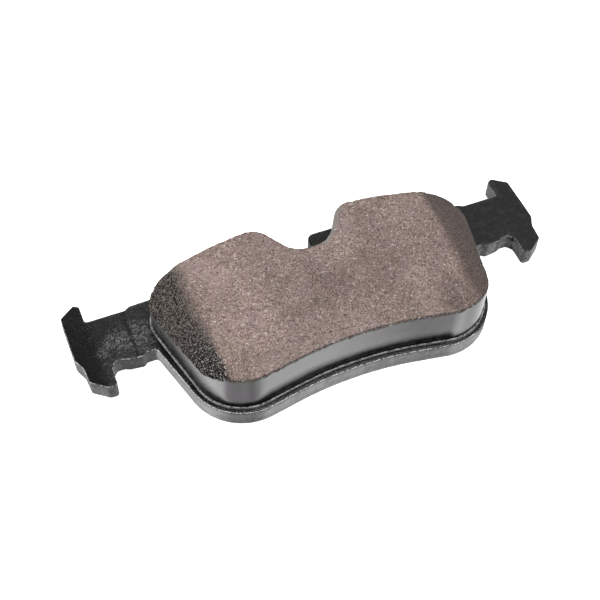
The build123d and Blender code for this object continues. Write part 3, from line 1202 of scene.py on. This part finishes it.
# ------------------------------------------------------------------ world
# Brightness round the horizon: bearing in degrees (0 front, + right), strength.
SWEEP = [
    (-180, 0.8), (-128, 1.5), (-94, 3.3), (-64, 3.6), (-58, 1.42), (-30, 1.46), (-13, 1.60),
    (0, 1.10), (4, 1.00), (8.5, 1.42), (14, 1.60), (18.6, 1.95), (24, 2.75), (34, 3.1),
    (44, 3.25), (52, 2.3), (61, 1.85), (77, 1.5), (110, 1.4), (150, 1.1), (180, 0.8),
]
SWEEP_FULL = 5.0        # strength stored as white in the ramp


def sweep_ramp(graph, turn):
    node = graph.node("ShaderNodeValToRGB", {0: turn})
    stops = node.color_ramp.elements
    while len(stops) > 1:
        stops.remove(stops[-1])
    for i, (bearing, strength) in enumerate(SWEEP):
        position = (bearing + 180) / 360
        stop = stops[0] if i == 0 else stops.new(position)
        stop.position = position
        level = strength / SWEEP_FULL
        stop.color = (level, level, level, 1)
    return Value(graph, node.outputs[0])


def studio():
    """A white sweep: reflections see it bright below the horizon and dim above."""
    world = bpy.data.worlds.new("studio")
    bpy.context.scene.world = world
    world.use_nodes = True
    graph = Graph(world.node_tree)
    direction = graph.add("ShaderNodeTexCoord", {}, "Generated")
    x = graph.add("ShaderNodeSeparateXYZ", {0: direction})
    y, z = x.sibling("Y"), x.sibling("Z")
    bearing = graph.math("ARCTAN2", x, y * -1.0)
    below = sweep_ramp(graph, bearing / (2 * math.pi) + 0.5) * SWEEP_FULL
    below = below * z.span(over=(-0.55, -0.05), give=(1.0, 3.4))
    reflected = graph.lerp(off=below, on=0.24, by=z.span(over=(-0.06, 0.10)))
    camera_ray = graph.add("ShaderNodeLightPath", {}, "Is Camera Ray")
    glossy_ray = camera_ray.sibling("Is Glossy Ray")
    strength = graph.lerp(off=0.50, on=reflected, by=glossy_ray)
    strength = graph.lerp(off=strength, on=1.2, by=camera_ray)
    background = graph.add("ShaderNodeBackground", {0: (1.0, 1.0, 1.0), 1: strength})
    graph.node("ShaderNodeOutputWorld", {0: background})
    # guards against a build without the Cycles world settings or this choice in them
    try:
        world.cycles.sampling_method = "NONE"
    except (AttributeError, TypeError):
        pass


studio()


# ------------------------------------------------------------------ lights
def softbox(name, place, width, depth, watts):
    """A rectangular light aimed at the origin; lengths in metres."""
    light = bpy.data.lights.new(name, "AREA")
    light.shape = "RECTANGLE"
    light.size, light.size_y, light.energy = width, depth, watts
    ob = linked(name, light)
    ob.location = place
    ob.rotation_mode = "QUATERNION"
    ob.rotation_quaternion = (-Vector(place)).to_track_quat("-Z", "Y")
    return ob


softbox("light_top", place=(0.15, -0.10, 0.80), width=0.25, depth=0.22, watts=1.9)
softbox("light_left", place=(-0.60, 0.05, 0.45), width=0.20, depth=0.20, watts=0.9)
softbox("light_back", place=(0.10, 0.65, 0.50), width=0.25, depth=0.15, watts=0.5)
lower_light = softbox("light_under", place=(0.0, 0.0, -0.60), width=0.25, depth=0.25, watts=2.2)
lower_light.visible_glossy = False
lower_light.visible_camera = False

# ------------------------------------------------------------------ camera
AZIMUTH, ELEVATION, ROLL = (math.radians(a) for a in (23.9701, 53.6706, 2.0127))
DISTANCE = 275.4501
AIM = Vector((-3.9968, 0.0479 + Y_SHIFT, PLATE_TOP - 4.80))
LENS, SENSOR = 65.88414, 36.0


def camera():
    """Looks at AIM from the front left and above."""
    data = bpy.data.cameras.new("camera")
    ob = linked("camera", data)
    back = Vector((-math.sin(AZIMUTH) * math.cos(ELEVATION),
                   -math.cos(AZIMUTH) * math.cos(ELEVATION), math.sin(ELEVATION)))
    level = Vector((0, 0, 1)).cross(back).normalized()
    upright = back.cross(level)
    right = math.cos(ROLL) * level + math.sin(ROLL) * upright
    up = -math.sin(ROLL) * level + math.cos(ROLL) * upright
    rotation = Matrix((right, up, back)).transposed()
    ob.matrix_world = Matrix.Translation((AIM + back * DISTANCE) * MM) @ rotation.to_4x4()
    data.sensor_width = SENSOR
    data.lens = LENS
    data.clip_start, data.clip_end = 0.01, 20.0
    bpy.context.scene.camera = ob


camera()
bpy.context.scene.view_settings.view_transform = "Standard"
